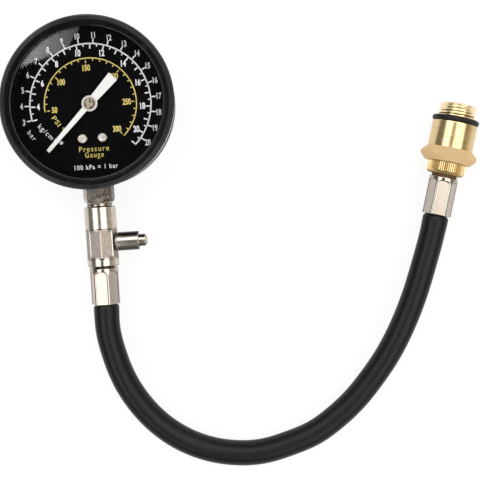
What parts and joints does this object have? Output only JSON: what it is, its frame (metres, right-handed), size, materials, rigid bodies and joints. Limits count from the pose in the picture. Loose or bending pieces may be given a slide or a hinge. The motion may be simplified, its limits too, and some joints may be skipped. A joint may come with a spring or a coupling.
{
  "type": "compression tester gauge",
  "caption": "Round dial pressure gauge on a tee with a push-button release valve, a rubber hose and a brass screw-in adapter, for testing engine cylinder compression.",
  "frame": {"origin": "on the gauge axis, at the back face of the case, on which the gauge lies", "axes": "+Z out of the dial; +Y towards the top of the dial, so the stem points along -Y"},
  "size_m": [0.2305, 0.2246, 0.0339],
  "materials": {
    "black_case": "satin black enamel",
    "black_bezel": "satin black enamel",
    "lens": "clear",
    "rubber": "matt black",
    "dial_face": "matt black with white and yellow print",
    "pointer_white": "white enamel",
    "movement_brass": "stamped",
    "bush_brass": "turned",
    "screw_nickel": "nickel plate",
    "bright_steel": "bright",
    "spring_steel": "spring",
    "tube_bronze": "drawn",
    "stem_nickel": "rough nickel plate on a cast surface",
    "tee_nickel": "bright nickel plate",
    "ferrule_nickel": "nickel plate",
    "hose_rubber": "satin black",
    "adapter_brass": "turned, bright",
    "collar_brass": "turned and knurled"
  },
  "bodies": {
    "gauge": {"gauge_case": "black_case", "bezel_ring": "black_bezel", "gauge_lens": "lens", "lens_seal": "rubber", "dial_plate": "dial_face", "dial_screws": "screw_nickel", "dial_posts": "movement_brass", "stop_pin": "bright_steel", "movement_front_plate": "movement_brass", "movement_back_plate": "movement_brass", "movement_pillars": "movement_brass", "pillar_screws": "bright_steel", "movement_screws": "bright_steel", "hairspring": "spring_steel", "bourdon_tube": "tube_bronze", "gauge_socket": "stem_nickel", "case_screws": "bright_steel", "tee_body": "tee_nickel", "release_body": "tee_nickel", "release_spring": "spring_steel", "ferrule_upper": "ferrule_nickel", "hose": "hose_rubber", "ferrule_lower": "ferrule_nickel", "end_fitting": "collar_brass", "thread_adapter": "adapter_brass", "adapter_o_ring": "rubber", "valve_core": "collar_brass", "valve_spring": "spring_steel"},
    "pointer": {"pointer": "pointer_white", "pointer_bush": "bush_brass", "pinion_arbor": "bush_brass"},
    "sector": {"sector_gear": "movement_brass", "sector_arbor": "bright_steel"},
    "link": {"tube_tip": "bright_steel", "link_bar": "bright_steel", "link_pins": "bright_steel"},
    "button": {"release_button": "tee_nickel", "release_seal": "rubber"},
    "valve": {"valve_pin": "bright_steel"}
  },
  "joints": [
    {"name": "pointer_turn", "type": "hinge", "parent": "gauge", "child": "pointer", "pos_m": [0, 0, 0.02], "axis": [0, 0, -1], "range_deg": [0, 270], "stiffness_Nm_per_rad": 0.000001, "deforming": ["hairspring"]},
    {"name": "sector_turn", "type": "hinge", "parent": "gauge", "child": "sector", "pos_m": [0, -0.0162, 0.0125], "axis": [0, 0, 1], "range_deg": [0, 33.75]},
    {"name": "link_slide", "type": "slide", "parent": "gauge", "child": "link", "axis": [1, 0, 0], "range_m": [0, 0.00273], "stiffness_N_per_m": 700, "deforming": ["bourdon_tube"]},
    {"name": "release_push", "type": "slide", "parent": "gauge", "child": "button", "axis": [-1, 0, 0], "range_m": [0, 0.0025], "stiffness_N_per_m": 400, "springref_m": -0.003, "deforming": ["release_spring"]},
    {"name": "valve_open", "type": "slide", "parent": "gauge", "child": "valve", "axis": [-0.2672, -0.9636, 0], "range_m": [0, 0.0015], "stiffness_N_per_m": 200, "springref_m": -0.002, "deforming": ["valve_spring"]}
  ],
  "couplings": [
    {"joint": "sector_turn", "follows": "link_slide", "rad_per_m": 215.76},
    {"joint": "pointer_turn", "follows": "link_slide", "rad_per_m": 1726.1}
  ]
}
